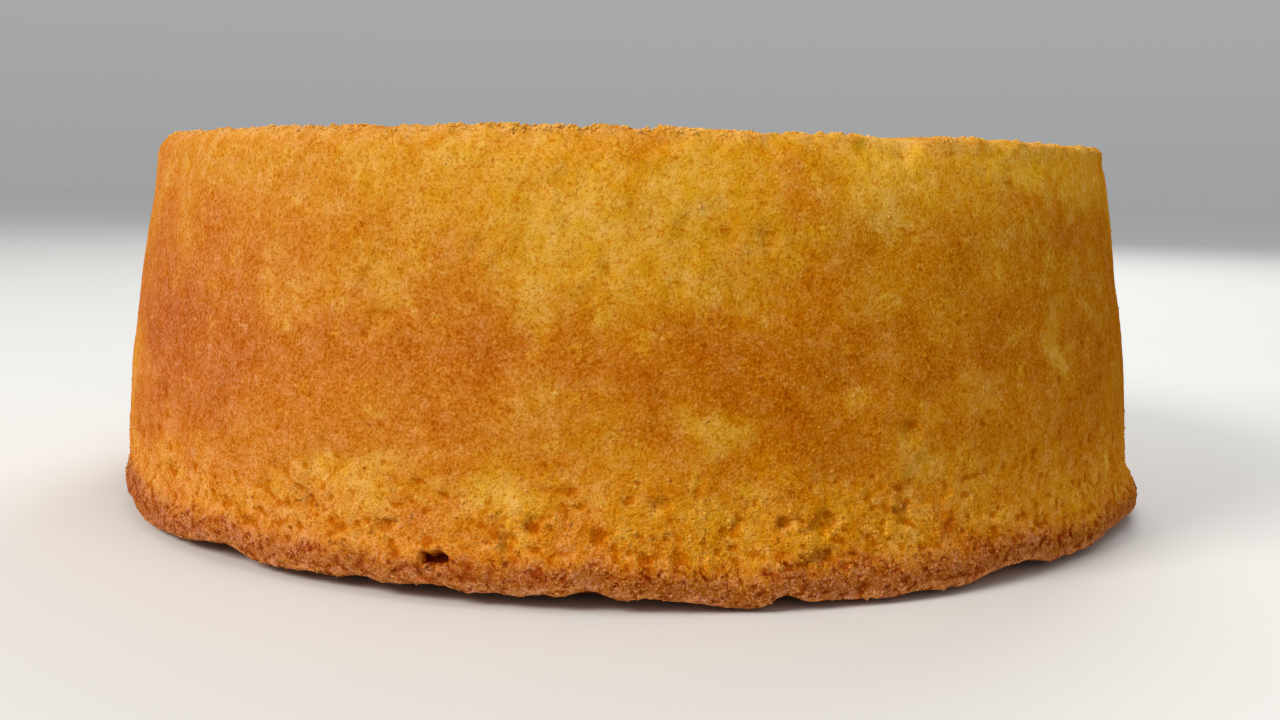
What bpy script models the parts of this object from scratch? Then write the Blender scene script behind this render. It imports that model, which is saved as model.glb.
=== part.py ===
"""A plain round sponge cake, turned out of its tin and standing upside down on its browned lip.

The side tapers up from the lip at the foot to the flat top, which was baked against the tin's base.
It is one solid, in metres, +Z up. The origin is the middle of the flat patch that the cake rests on,
and the front is -Y. Angles are degrees round the cake from the front, growing towards +X.
"""
import math
import random

import bmesh
import bpy
from mathutils import Matrix, Vector, noise

MM = 0.001

# Overall size
HEIGHT = 70.4 * MM
LIP_RADIUS = 102.8 * MM
STEPS = 144                       # facets round the cake

# Side wall, from the waist above the lip to the shoulder under the top edge
WAIST_Z = 9.5 * MM
WAIST_RADIUS = 101.6 * MM
SHOULDER_Z = 64.8 * MM
SHOULDER_RADIUS = 94.8 * MM
SIDE_BOW = 0.9 * MM               # how far the wall bulges out at mid height
SIDE_ROWS = 8
BODY_SHIFT = 0.65 * MM            # the lip overhangs more at the right than at the left

# Top edge, a quarter of an ellipse, and the rings of the flat top inside it
CORNER_WIDTH = 4.0 * MM
CORNER_ROWS = 4
CORNER_SKEW = 1.3 * MM            # at the right the corner is a steep chamfer instead
TOP_RINGS = (42.0 * MM, 75.0 * MM)

# Lip: it flares out from the waist, turns at its nose and ends in a lifted lower edge
NOSE_Z = 4.8 * MM
EDGE_Z = 1.6 * MM
EDGE_INSET = 1.5 * MM
FLARE_ROWS = 3
NOSE_ROWS = 2

# Underside: flat where the cake rests, curling up to the lip's edge
REST_RADIUS = 90.0 * MM
CURL_POWER = 1.7
CURL_ROWS = 3

# Unevenness of the baked surface: how far it pushes, and the length of its waves
WANDER = 0.55 * MM
WANDER_LENGTH = 42.0 * MM
WANDER_SEED = 132.6
DIMPLE = 0.45 * MM
DIMPLE_LENGTH = 11.0 * MM
TOP_WAVER = 0.45 * MM
TOP_WAVER_LENGTH = 38.0 * MM

# Crumbling of the top edge: its size, its waves round the cake, the band it reaches, and its direction
CRUMBLE = 0.55 * MM
CRUMBLE_WAVES = 22.0
CRUMBLE_LENGTH = 3.0 * MM
CRUMBLE_BAND = 6.0 * MM
CRUMBLE_OUTWARD = 0.8
CRUMBLE_UPWARD = 0.6

# Scallops of the lip: long ones and short ones, by waves round the cake
LONG_SCALLOP = 1.1 * MM
LONG_WAVES = 7.5
LONG_SEED = 115.5
SHORT_SCALLOP = 0.55 * MM
SHORT_WAVES = 19.0
SHORT_SEED = 148.5
OVERHANG_WAVER = 0.9 * MM
OVERHANG_SEED = 100.5

# Where the lip's lower edge stands higher, or hangs lower: angle, half width in degrees, lift
FRONT_NOTCHES = (
    (-39.5, 4.2, 1.1 * MM),
    (-23.5, 2.4, 0.7 * MM),
    (-3.3, 3.0, 1.1 * MM),
    (2.0, 1.8, 0.6 * MM),
    (13.2, 2.0, 1.3 * MM),
    (22.0, 22.0, -1.0 * MM),
    (37.0, 7.5, 1.6 * MM),
)
BACK_NOTCHES = 7

# Patches where the crust peeled off with the tin: angle, height, half width, half height
PEELED = (
    (-1.0, 54.0 * MM, 17.0 * MM, 7.5 * MM),
    (-22.0, 46.5 * MM, 6.0 * MM, 5.0 * MM),
    (27.0, 19.0 * MM, 5.5 * MM, 4.5 * MM),
    (-27.0, 18.0 * MM, 6.5 * MM, 4.5 * MM),
    (41.0, 64.0 * MM, 7.0 * MM, 4.0 * MM),
    (98.0, 50.0 * MM, 15.0 * MM, 8.0 * MM),
    (139.0, 21.0 * MM, 9.0 * MM, 5.0 * MM),
    (176.0, 47.0 * MM, 17.0 * MM, 9.0 * MM),
    (214.0, 20.0 * MM, 8.0 * MM, 6.0 * MM),
    (252.0, 53.0 * MM, 14.0 * MM, 7.0 * MM),
)
PEEL_DEPTH = 0.4 * MM

# Chips out of the top edge: angle, half width in degrees, depth
CHIPS = (
    (26.2, 3.4, 0.9 * MM),
    (84.0, 4.0, 0.9 * MM),
    (131.0, 3.5, 0.7 * MM),
    (203.0, 4.5, 1.0 * MM),
    (286.0, 3.5, 0.8 * MM),
)

# Holes that face the front: angle, height, width, height of the opening, depth
FRONT_HOLES = (
    (-16.2, 6.2 * MM, 4.4 * MM, 1.9 * MM, 2.2 * MM),
    (-20.4, 10.6 * MM, 4.8 * MM, 2.0 * MM, 1.2 * MM),
    (-36.2, 8.0 * MM, 2.4 * MM, 1.8 * MM, 1.4 * MM),
    (16.6, 13.0 * MM, 4.8 * MM, 3.0 * MM, 1.3 * MM),
    (16.4, 8.0 * MM, 3.8 * MM, 1.9 * MM, 1.6 * MM),
    (-7.6, 12.6 * MM, 2.4 * MM, 2.6 * MM, 1.4 * MM),
    (24.6, 13.4 * MM, 2.8 * MM, 2.2 * MM, 1.4 * MM),
    (12.2, 54.8 * MM, 3.6 * MM, 3.0 * MM, 0.9 * MM),
)

# Holes all round, mostly low on the side, where the crumb is open
HOLE_COUNT = 34
HOLE_ROUGHNESS = 0.30
HOLE_GAP = 1.6 * MM


def blend(value, low, high):
    """0 below low, 1 above high, smooth between."""
    t = min(max((value - low) / (high - low), 0.0), 1.0)
    return t * t * (3.0 - 2.0 * t)


def bump(distance):
    """1 at distance 0, falling smoothly to 0 at distance 1."""
    return max(0.0, 1.0 - distance * distance) ** 2


def turn(angle, other):
    """The short way round from one angle to another, in degrees."""
    return abs((angle - other + 180.0) % 360.0 - 180.0)


def waves(angle, cycles, seed):
    """Noise that closes on itself round the cake."""
    a = math.radians(angle)
    return noise.noise(Vector((cycles * math.sin(a), cycles * math.cos(a), seed)))


def side_radius(z):
    """Radius of the plain side wall at a height."""
    u = (z - WAIST_Z) / (SHOULDER_Z - WAIST_Z)
    return WAIST_RADIUS + (SHOULDER_RADIUS - WAIST_RADIUS) * u + 4.0 * SIDE_BOW * u * (1.0 - u)


def profile_points():
    """Radius and height of the turned profile, from the middle of the top down to the underside."""
    points = [(0.0, HEIGHT)]
    points += [(radius, HEIGHT) for radius in TOP_RINGS]
    for i in range(CORNER_ROWS):
        a = math.pi / 2 * i / CORNER_ROWS
        points.append((SHOULDER_RADIUS - CORNER_WIDTH * (1.0 - math.sin(a)),
                       SHOULDER_Z + (HEIGHT - SHOULDER_Z) * math.cos(a)))
    for i in range(SIDE_ROWS):
        z = SHOULDER_Z + (WAIST_Z - SHOULDER_Z) * i / SIDE_ROWS
        points.append((side_radius(z), z))
    for i in range(FLARE_ROWS):
        t = i / FLARE_ROWS
        points.append((WAIST_RADIUS + (LIP_RADIUS - WAIST_RADIUS) * blend(t, 0.0, 1.0),
                       WAIST_Z + (NOSE_Z - WAIST_Z) * t))
    for i in range(NOSE_ROWS):
        a = math.pi / 2 * i / NOSE_ROWS
        points.append((LIP_RADIUS - EDGE_INSET * (1.0 - math.cos(a)),
                       NOSE_Z + (EDGE_Z - NOSE_Z) * math.sin(a)))
    edge = LIP_RADIUS - EDGE_INSET
    for i in range(CURL_ROWS + 1):
        t = 1.0 - i / CURL_ROWS
        points.append((REST_RADIUS + (edge - REST_RADIUS) * t, EDGE_Z * t ** CURL_POWER))
    points.append((0.0, 0.0))
    return points


def back_notches():
    """Notches of the hidden part of the lip, spread unevenly."""
    rng = random.Random(11)
    step = 220.0 / BACK_NOTCHES
    return [(70.0 + step * (i + rng.uniform(0.2, 0.8)), rng.uniform(2.4, 6.5), rng.uniform(0.7, 1.5) * MM)
            for i in range(BACK_NOTCHES)]


NOTCHES = FRONT_NOTCHES + tuple(back_notches())


def lip_lift(angle):
    """How far the lip's lower edge stands above its plain height."""
    lift = LONG_SCALLOP * waves(angle, LONG_WAVES, LONG_SEED)
    lift += SHORT_SCALLOP * waves(angle, SHORT_WAVES, SHORT_SEED)
    return lift + sum(height * bump(turn(angle, at) / half) for at, half, height in NOTCHES)


def peel(angle, z):
    """Depth of the peeled crust at a place on the side."""
    depth = 0.0
    for at, height, half_width, half_height in PEELED:
        across = math.radians(turn(angle, at)) * side_radius(z) / half_width
        d = math.hypot(across, (z - height) / half_height)
        depth = max(depth, PEEL_DEPTH * blend(1.15 - d, 0.0, 0.3))
    return depth


def relief(point):
    """Moves a point of the plain turned shape to the uneven baked surface."""
    x, y, z = point
    radius = math.hypot(x, y)
    angle = math.degrees(math.atan2(x, -y))
    outward = Vector((x, y, 0.0)) / radius if radius > MM else Vector()

    rim = blend(radius, TOP_RINGS[-1], SHOULDER_RADIUS - CORNER_WIDTH)

    # Body: long waves and shallow dimples, the peeled patches, and the shift against the lip
    seed = Vector((0.0, 0.0, WANDER_SEED))
    push = WANDER * noise.noise(point / WANDER_LENGTH + seed)
    push += DIMPLE * noise.noise(point / DIMPLE_LENGTH - seed)
    push -= peel(angle, z)
    moved = point + outward * (push * rim * blend(z, NOSE_Z, WAIST_Z))
    moved.x -= BODY_SHIFT * blend(z, NOSE_Z, WAIST_Z)

    # Top: slow waves of the flat crust, a crumbling edge with chips out of it, and the right's chamfer
    waver = noise.noise(Vector((x, y, 0.0)) / TOP_WAVER_LENGTH)
    moved.z += TOP_WAVER * waver * blend(z, SHOULDER_Z, HEIGHT)
    crumble = CRUMBLE * waves(angle, CRUMBLE_WAVES, z / CRUMBLE_LENGTH)
    crumble -= sum(depth * bump(turn(angle, at) / half) for at, half, depth in CHIPS)
    crumble *= rim * bump((HEIGHT - z) / CRUMBLE_BAND)
    moved += outward * (crumble * CRUMBLE_OUTWARD)
    moved.z += crumble * CRUMBLE_UPWARD
    drop = min(max((HEIGHT - z) / (HEIGHT - SHOULDER_Z), 0.0), 1.0)
    skew = max(0.0, outward.x) * math.cos(1.25 * math.pi * drop) * (1.0 - drop)
    moved += outward * (CORNER_SKEW * skew * rim)

    # Lip: scallops of its lower edge and an uneven overhang, fading out at the waist and the rest patch
    lip = (1.0 - blend(z, NOSE_Z, WAIST_Z)) * blend(radius, REST_RADIUS, LIP_RADIUS - EDGE_INSET)
    moved.z += lip_lift(angle) * lip
    moved += outward * (OVERHANG_WAVER * waves(angle, LONG_WAVES, OVERHANG_SEED) * lip)
    moved.z = max(moved.z, 0.0)
    return moved


def turned_body(collection):
    """The plain cake turned from its profile, then given its relief."""
    mesh = bpy.data.meshes.new("profile")
    points = [(radius, 0.0, z) for radius, z in profile_points()]
    mesh.from_pydata(points, [(i, i + 1) for i in range(len(points) - 1)], [])
    profile = bpy.data.objects.new("profile", mesh)
    collection.objects.link(profile)
    screw = profile.modifiers.new("turn", "SCREW")
    screw.steps = STEPS
    screw.render_steps = STEPS
    screw.use_merge_vertices = True
    screw.merge_threshold = 0.0001
    bpy.context.view_layer.update()

    solid = bpy.data.meshes.new_from_object(profile.evaluated_get(bpy.context.evaluated_depsgraph_get()))
    bpy.data.objects.remove(profile)
    for vertex in solid.vertices:
        vertex.co = relief(vertex.co)
    cake = bpy.data.objects.new("sponge_cake", solid)
    collection.objects.link(cake)
    return cake


def hole_places():
    """The named holes, then the seeded ones all round, each clear of the others."""
    rng = random.Random(4)
    places = list(FRONT_HOLES)
    while len(places) < len(FRONT_HOLES) + HOLE_COUNT:
        angle = rng.uniform(-180.0, 180.0)
        z = rng.triangular(6.5, 44.0, 9.0) * MM
        width = rng.uniform(2.0, 3.4) * MM
        tall = width * rng.uniform(0.6, 0.95)
        clear = all(math.hypot(math.radians(turn(angle, other[0])) * WAIST_RADIUS, z - other[1])
                    > (width + other[2]) / 2 + HOLE_GAP for other in places)
        if clear:
            places.append((angle, z, width, tall, rng.uniform(0.8, 1.5) * MM))
    return places


def hole_cutters(collection):
    """One mesh with a rough pebble for each hole, half sunk in the side."""
    shapes = bmesh.new()
    for index, (angle, z, width, tall, depth) in enumerate(hole_places()):
        a = math.radians(angle)
        outward = Vector((math.sin(a), -math.cos(a), 0.0))
        centre = relief(outward * side_radius(z) + Vector((0.0, 0.0, z)))
        axes = Matrix((outward * depth, Vector((math.cos(a), math.sin(a), 0.0)) * width / 2,
                       Vector((0.0, 0.0, 1.0)) * tall / 2)).transposed()
        pebble = bmesh.ops.create_icosphere(shapes, subdivisions=2, radius=1.0)
        for vertex in pebble["verts"]:
            swell = 1.0 + HOLE_ROUGHNESS * noise.noise(vertex.co * 1.3 + Vector((index * 3.7, 0.0, 0.0)))
            vertex.co = centre + axes @ (vertex.co * swell)
    mesh = bpy.data.meshes.new("holes")
    shapes.to_mesh(mesh)
    shapes.free()
    cutter = bpy.data.objects.new("holes", mesh)
    cutter.hide_render = True
    cutter.display_type = "WIRE"
    collection.objects.link(cutter)
    return cutter


def centre(body, others):
    """Puts the middle of the body's box over the origin, and moves the others with it."""
    xs = [vertex.co.x for vertex in body.data.vertices]
    ys = [vertex.co.y for vertex in body.data.vertices]
    for item in [body] + others:
        item.location = (-(min(xs) + max(xs)) / 2, -(min(ys) + max(ys)) / 2, 0.0)


def crust_material():
    """Golden-brown baked crust."""
    material = bpy.data.materials.new("sponge_crust")
    material.use_nodes = True
    shader = material.node_tree.nodes["Principled BSDF"]
    shader.inputs["Base Color"].default_value = (0.58, 0.22, 0.035, 1.0)
    shader.inputs["Roughness"].default_value = 0.75
    shader.inputs["Metallic"].default_value = 0.0
    return material


for old in list(bpy.data.objects):
    bpy.data.objects.remove(old)

part = bpy.data.collections.new("sponge_cake")
cutters = bpy.data.collections.new("cutters")
bpy.context.scene.collection.children.link(part)
bpy.context.scene.collection.children.link(cutters)

sponge = turned_body(part)
holes = hole_cutters(cutters)
centre(sponge, [holes])
pores = sponge.modifiers.new("pores", "BOOLEAN")
pores.operation = "DIFFERENCE"
pores.solver = "EXACT"
pores.object = holes
sponge.data.materials.append(crust_material())
sponge.data.shade_smooth()
sponge.data.set_sharp_from_angle(angle=math.radians(50.0))
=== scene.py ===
"""The looks of the sponge cake: its crust in fine relief, the crumbs on it, its colours, camera and light.

The CAD solid is turned from a profile and then given a relief. The same profile and relief, with the same
named values, make the fine body here, and the finer forms of the crust are added to it. Lengths are in
metres. Angles are degrees round the cake from the front (-Y), growing towards +X.
"""

import math
import random
from types import SimpleNamespace

import bmesh
import bpy
import numpy as np
from mathutils import Matrix, Vector, noise


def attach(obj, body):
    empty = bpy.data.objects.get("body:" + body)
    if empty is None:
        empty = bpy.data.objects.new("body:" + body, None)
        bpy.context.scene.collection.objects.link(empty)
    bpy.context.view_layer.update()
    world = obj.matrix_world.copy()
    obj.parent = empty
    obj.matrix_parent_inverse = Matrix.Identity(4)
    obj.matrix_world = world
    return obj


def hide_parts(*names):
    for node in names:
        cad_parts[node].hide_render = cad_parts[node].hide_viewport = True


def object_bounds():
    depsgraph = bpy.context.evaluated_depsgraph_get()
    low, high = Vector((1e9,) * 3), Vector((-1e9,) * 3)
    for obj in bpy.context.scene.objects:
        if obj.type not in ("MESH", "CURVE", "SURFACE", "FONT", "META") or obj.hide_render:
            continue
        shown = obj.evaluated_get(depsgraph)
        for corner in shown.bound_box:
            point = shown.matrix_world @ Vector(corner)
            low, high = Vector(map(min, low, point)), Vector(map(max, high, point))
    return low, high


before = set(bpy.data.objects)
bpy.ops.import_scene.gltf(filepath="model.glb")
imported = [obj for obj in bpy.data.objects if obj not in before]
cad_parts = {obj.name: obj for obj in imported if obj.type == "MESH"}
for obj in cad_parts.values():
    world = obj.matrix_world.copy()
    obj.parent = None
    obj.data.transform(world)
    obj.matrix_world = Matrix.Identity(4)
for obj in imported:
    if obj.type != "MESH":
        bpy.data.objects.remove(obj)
CAD_LOW, CAD_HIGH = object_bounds()

MM = 0.001

# The plain turned form: the side wall, its corner under the flat top, the lip and the underside
HEIGHT = 70.4 * MM
LIP_RADIUS = 102.8 * MM
WAIST_Z = 9.5 * MM
WAIST_RADIUS = 101.6 * MM
SHOULDER_Z = 64.8 * MM
SHOULDER_RADIUS = 94.8 * MM
SIDE_BOW = 0.9 * MM
BODY_SHIFT = 0.65 * MM
CORNER_WIDTH = 4.0 * MM
CORNER_SKEW = 1.3 * MM
SKEW_TURN = 1.25 * math.pi
TOP_RIM = 75.0 * MM
NOSE_Z = 4.8 * MM
EDGE_Z = 1.6 * MM
EDGE_INSET = 1.5 * MM
REST_RADIUS = 90.0 * MM
CURL_POWER = 1.7

# Its relief: how far it pushes, and the length of its waves
WANDER = 0.55 * MM
WANDER_LENGTH = 42.0 * MM
WANDER_SEED = 132.6
DIMPLE = 0.45 * MM
DIMPLE_LENGTH = 11.0 * MM
TOP_WAVER = 0.45 * MM
TOP_WAVER_LENGTH = 38.0 * MM
CRUMBLE = 0.55 * MM
CRUMBLE_WAVES = 22.0
CRUMBLE_LENGTH = 3.0 * MM
CRUMBLE_BAND = 6.0 * MM
CRUMBLE_OUTWARD = 0.8
CRUMBLE_UPWARD = 0.6
LONG_SCALLOP = 1.1 * MM
LONG_WAVES = 7.5
LONG_SEED = 115.5
SHORT_SCALLOP = 0.55 * MM
SHORT_WAVES = 19.0
SHORT_SEED = 148.5
OVERHANG_WAVER = 0.9 * MM
OVERHANG_SEED = 100.5

# Where the lip's lower edge stands higher, or hangs lower: angle, half width in degrees, lift
FRONT_NOTCHES = (
    (-39.5, 4.2, 1.1 * MM),
    (-23.5, 2.4, 0.7 * MM),
    (-3.3, 3.0, 1.1 * MM),
    (2.0, 1.8, 0.6 * MM),
    (13.2, 2.0, 1.3 * MM),
    (22.0, 22.0, -1.0 * MM),
    (37.0, 7.5, 1.6 * MM),
)

# Seeded notches of the lip's hidden part: their number, first angle, span and forms
BACK_NOTCHES = 7
BACK_FROM = 70.0
BACK_SPAN = 220.0
BACK_SPREAD = (0.2, 0.8)
BACK_HALF_WIDTHS = (2.4, 6.5)
BACK_LIFTS = (0.7 * MM, 1.5 * MM)
BACK_SEED = 11

# Patches where the crust peeled off with the tin: angle, height, half width, half height
PEELED = (
    (-1.0, 54.0 * MM, 17.0 * MM, 7.5 * MM),
    (-22.0, 46.5 * MM, 6.0 * MM, 5.0 * MM),
    (27.0, 19.0 * MM, 5.5 * MM, 4.5 * MM),
    (-27.0, 18.0 * MM, 6.5 * MM, 4.5 * MM),
    (41.0, 64.0 * MM, 7.0 * MM, 4.0 * MM),
    (98.0, 50.0 * MM, 15.0 * MM, 8.0 * MM),
    (139.0, 21.0 * MM, 9.0 * MM, 5.0 * MM),
    (176.0, 47.0 * MM, 17.0 * MM, 9.0 * MM),
    (214.0, 20.0 * MM, 8.0 * MM, 6.0 * MM),
    (252.0, 53.0 * MM, 14.0 * MM, 7.0 * MM),
)

# Their depth, where their frayed rims end, and how the coarse and the middle noise fray them
PEEL_DEPTH = 0.4 * MM
PEEL_REACH = 1.05
PEEL_FADE = 0.22
PEEL_FRAY = (0.9, 0.5)

# Chips out of the top edge: angle, half width in degrees, depth
CHIPS = (
    (26.2, 3.4, 0.9 * MM),
    (84.0, 4.0, 0.9 * MM),
    (131.0, 3.5, 0.7 * MM),
    (203.0, 4.5, 1.0 * MM),
    (286.0, 3.5, 0.8 * MM),
)

# Holes that face the front: angle, height, width, height of the opening, depth
FRONT_HOLES = (
    (-16.2, 6.2 * MM, 4.4 * MM, 1.9 * MM, 2.2 * MM),
    (-20.4, 10.6 * MM, 4.8 * MM, 2.0 * MM, 1.2 * MM),
    (-36.2, 8.0 * MM, 2.4 * MM, 1.8 * MM, 1.4 * MM),
    (16.6, 13.0 * MM, 4.8 * MM, 3.0 * MM, 1.3 * MM),
    (16.4, 8.0 * MM, 3.8 * MM, 1.9 * MM, 1.6 * MM),
    (-7.6, 12.6 * MM, 2.4 * MM, 2.6 * MM, 1.4 * MM),
    (24.6, 13.4 * MM, 2.8 * MM, 2.2 * MM, 1.4 * MM),
    (12.2, 54.8 * MM, 3.6 * MM, 3.0 * MM, 0.9 * MM),
)

# Seeded holes all round: their number and gaps, least, greatest and usual height, and forms
HOLE_COUNT = 34
HOLE_GAP = 1.6 * MM
HOLE_HEIGHTS = (6.5 * MM, 44.0 * MM, 9.0 * MM)
HOLE_WIDTHS = (2.0 * MM, 3.4 * MM)
HOLE_FLATNESS = (0.6, 0.95)
HOLE_DEPTHS = (0.8 * MM, 1.5 * MM)
HOLE_SEED = 4

# Rings of the fine body: spacings, where the finest ones start, points round the cake, those of the resting
# face as shares of its radius, and the length of a corner's arc against its height
TOP_SPACING = 2.6 * MM
EDGE_FROM = 88.0 * MM
EDGE_SPACING = 0.66 * MM
SIDE_SPACING = 1.12 * MM
FINE_SPACING = 0.56 * MM
UNDER_SPACING = 1.6 * MM
FINE_Z = 20.5 * MM
EDGE_COUNT = 960
SIDE_COUNT = 768
FINE_COUNT = 1200
UNDER_COUNT = 480
UNDER_SHARES = (1.0, 0.8, 0.6, 0.4, 0.2)
ARC_SHARE = 1.2

# Small pores all round, fewer higher up. The usual width comes last; depths are shares of the width.
PORE_COUNT = 620
PORE_LOWEST = 5.0 * MM
PORE_RISE = 8.0 * MM
PORE_WIDTHS = (0.8 * MM, 1.9 * MM, 1.1 * MM)
PORE_FLATNESS = (0.5, 1.0)
PORE_DEPTHS = (0.2, 0.42)
PORE_SEED = 23

# How holes and pores sink in: reach, slope, ragged rim, and the share of its depth that a shallow one has
RIM_REACH = 1.15
RIM_SLOPE = 0.46
RIM_RAGGED = 0.9
RIM_NOISE = (1.4 * MM, 17.0)
SHALLOW_SHARE = 0.6

# How dark the painted shade in them is: the deep ones, the narrow ones and the others
DEEP_HOLE = 2.2 * MM
WIDE_HOLE = 2.6 * MM
DEEP_DARK = 1.0
NARROW_DARK = 0.55
WIDE_DARK = 0.32

# A flake gone from the top's corner: angle, height, half width, half height, then its rim and colour
FLAKE = (24.6, 69.0 * MM, 5.4 * MM, 3.8 * MM)
FLAKE_FRAY = (0.2, 0.4)
FLAKE_FADE = 0.14
FLAKE_BROWNING = -0.45
FLAKE_PALE = 0.6

# Noise of the crust: wave length and seed of the coarse, the middle and the fine one, of pits and of grains
CRUST_NOISES = ((5.5 * MM, 9.3), (2.1 * MM, 5.9), (1.15 * MM, 12.7))
PIT_NOISE = (1.9 * MM, 31.0)
PIT_FROM = 0.16
GRAIN_DOMES = (1.7 * MM, 3.1)
DOME_HALF = 0.75

# How far each pushes the surface out, and how dark the painted shade in pits is
COARSE_PUSH = 0.06 * MM
MIDDLE_PUSH = 0.05 * MM
FINE_PUSH = 0.24 * MM
GRAIN_PUSH = 0.10 * MM
GRAIN_LEVEL = 0.6
PIT_PUSH = -0.6 * MM
PIT_DARK = 1.6
PIT_DARKEST = 0.5

# The crumb is open low on the side. Closed and torn crust have these shares of its relief, the lip less.
OPEN_BELOW = 9.0 * MM
CLOSED_ABOVE = 26.0 * MM
CLOSED_SHARE = 0.3
TORN_SHARE = 0.4
LIP_CALM = 0.35

# The top's edge breaks into crumbs, most near one angle: push, wave length and seed of its noises
RAGGED_Z = 70.2 * MM
RAGGED_HALF = 2.4 * MM
RAGGED_NOISES = ((0.3 * MM, 3.0 * MM, 51.0), (1.4 * MM, 1.3 * MM, 53.0))
RAGGED_LIMITS = (-0.5 * MM, 0.45 * MM)
CRUMBLY_ANGLE = -14.0
CRUMBLY_HALF = 54.0
CRUMBLY_REST = 0.2

# The lip's brown band: its height and waver, how far it follows the lip's edge, its fray and its fading out
LIP_BAND = 4.1 * MM
BAND_WAVER = 0.7 * MM
BAND_WAVES = (6.0, 40.0)
BAND_FOLLOWS = 0.2
BAND_FRAY = (0.8 * MM, 0.9 * MM, 0.8 * MM)
BAND_BELOW = 1.2 * MM
BAND_ABOVE = 3.2 * MM

# Where the band reaches higher, and where it is browner: angle, half width in degrees, by how much
BAND_RISES = ((-64.0, 16.0, 2.0 * MM), (25.0, 18.0, 1.2 * MM))
BAND_BROWN = 0.78
BAND_BROWNER = ((12.0, 42.0, 0.22), (200.0, 110.0, 0.18), (-58.0, 16.0, 0.26))

# The pale brim along the lip's very edge, and where the underside begins
BRIM_HEIGHT = 2.2 * MM
BRIM_SHARE = 0.8
BRIM_MOTTLE = 1.5
UNDER_LOW = 0.2 * MM

# Browning of the crust, 0 pale yellow to 1 brown, and how pale the top is. Patches of the side: angle, then
# height, half width and half height in millimetres, and change of browning.
BROWNING = 0.46
TOP_BROWNING = 0.28
TOP_PALE = 1.3
TONES_IN_MM = (
    (-1, 54, 24, 13, -0.28),
    (0, 68, 170, 5, -0.08),
    (-5, 53.5, 9, 5, -0.16),
    (0, 61, 60, 8, -0.14),
    (7, 63, 9, 6, -0.18),
    (24, 62, 10, 4, -0.24),
    (37, 62, 6, 4, -0.12),
    (20, 43, 6, 3, -0.14),
    (-28, 54, 6, 4, -0.12),
    (-24, 63, 24, 7, -0.16),
    (-52, 65, 24, 8, -0.18),
    (-22, 46, 9, 6, -0.22),
    (-34, 46, 7, 5, -0.22),
    (-9, 47, 8, 5, -0.14),
    (8, 28, 6, 3.5, -0.40),
    (-6, 30, 7, 4, -0.10),
    (-9, 16, 6, 5, -0.36),
    (-26, 18, 10, 4, -0.22),
    (-18, 20, 14, 4, -0.20),
    (27, 20, 5, 4, -0.22),
    (45, 37, 6, 4.5, -0.42),
    (47, 28, 9, 5, -0.16),
    (33, 31.5, 6, 4, -0.24),
    (24, 31, 12, 5, -0.16),
    (42, 67, 14, 4.5, -0.54),
    (57, 64, 11, 7, -0.30),
    (41, 54, 12, 6, -0.12),
    (25, 66, 16, 6, -0.22),
    (42, 14, 30, 7, -0.12),
    (-48, 12, 30, 5, -0.16),
    (4, 13, 44, 5, -0.14),
    (6, 36, 40, 7, 0.23),
    (-18, 37, 18, 7, 0.16),
    (-50, 38, 32, 15, 0.44),
    (-44, 44, 8, 5, -0.08),
    (-54, 36, 14, 6, 0.12),
    (-56, 20, 20, 9, 0.20),
    (-46, 14, 5, 4, 0.30),
    (-34, 14, 7, 4, -0.16),
    (-16, 14, 5, 3, 0.26),
    (-4, 12, 4, 3.5, 0.22),
    (31, 10, 5, 3, 0.28),
    (38, 37, 18, 8, 0.18),
    (52, 36, 10, 8, 0.14),
    (57, 42, 10, 10, -0.06),
    (50, 56, 12, 5, 0.10),
    (18, 25, 18, 5, 0.21),
    (51, 25, 11, 6, 0.12),
    (2, 30, 5, 3, 0.14),
    (38, 30, 5, 3, 0.12),
    (14, 46, 6, 3, 0.10),
    (-14, 25, 9, 5, 0.10),
    (-2, 22, 8, 4, -0.10),
    (15, 63, 5, 5, 0.22),
    (-36, 28, 16, 6, 0.12),
)
TONES = tuple((at, z * MM, wide * MM, tall * MM, change) for at, z, wide, tall, change in TONES_IN_MM)

# How far out patches fade. Small pale ones, up to this half width, are palest in their middle.
PATCH_REACH = 1.5
SMALL_PATCH = 10.0 * MM
PALE_HEART = 1.4

# The unseen sides get patches of the same kind: their number, reach and forms
HIDDEN_TONES = 34
HIDDEN_FROM = 68.0
HIDDEN_TO = 296.0
HIDDEN_FADE = 12.0
HIDDEN_SIZES = (6.0 * MM, 20.0 * MM)
HIDDEN_HEIGHTS = (10.0 * MM, 66.0 * MM)
HIDDEN_FLATNESS = (0.35, 0.6)
HIDDEN_KINDS = (-1.0, -0.8, 0.7)
HIDDEN_CHANGES = (0.16, 0.28)
HIDDEN_SEED = 58
PEELED_CHANGE = -0.22
PEELED_SCALE = 1.1

# A browner belt round them: height, half width, half height and change of its patches, and their angles
BELT = (37.0 * MM, 34.0 * MM, 9.0 * MM, 0.16)
BELT_ANGLES = (90.0, 130.0, 165.0, 205.0, 245.0, 280.0)

# How noise drags the patches' rims round the cake and up: push, wave length, seed
WARP_ROUND = ((5.5 * MM, 9.0 * MM, 61.0), (2.4 * MM, 3.0 * MM, 61.0))
WARP_UP = ((5.5 * MM, 9.0 * MM, 83.0), (2.4 * MM, 3.0 * MM, 83.0))

# Mottles in the browning: share, wave length, seed. The top's begin at this height.
SIDE_MOTTLES = ((0.06, 24.0 * MM, 2.3), (0.14, 8.0 * MM, 7.7))
UNSEEN_MOTTLES = ((0.16, 24.0 * MM, 2.3),)
TOP_MOTTLES = ((0.24, 22.0 * MM, 2.3), (0.16, 7.0 * MM, 7.7))
TOP_FROM = HEIGHT - 3.0 * MM
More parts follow.
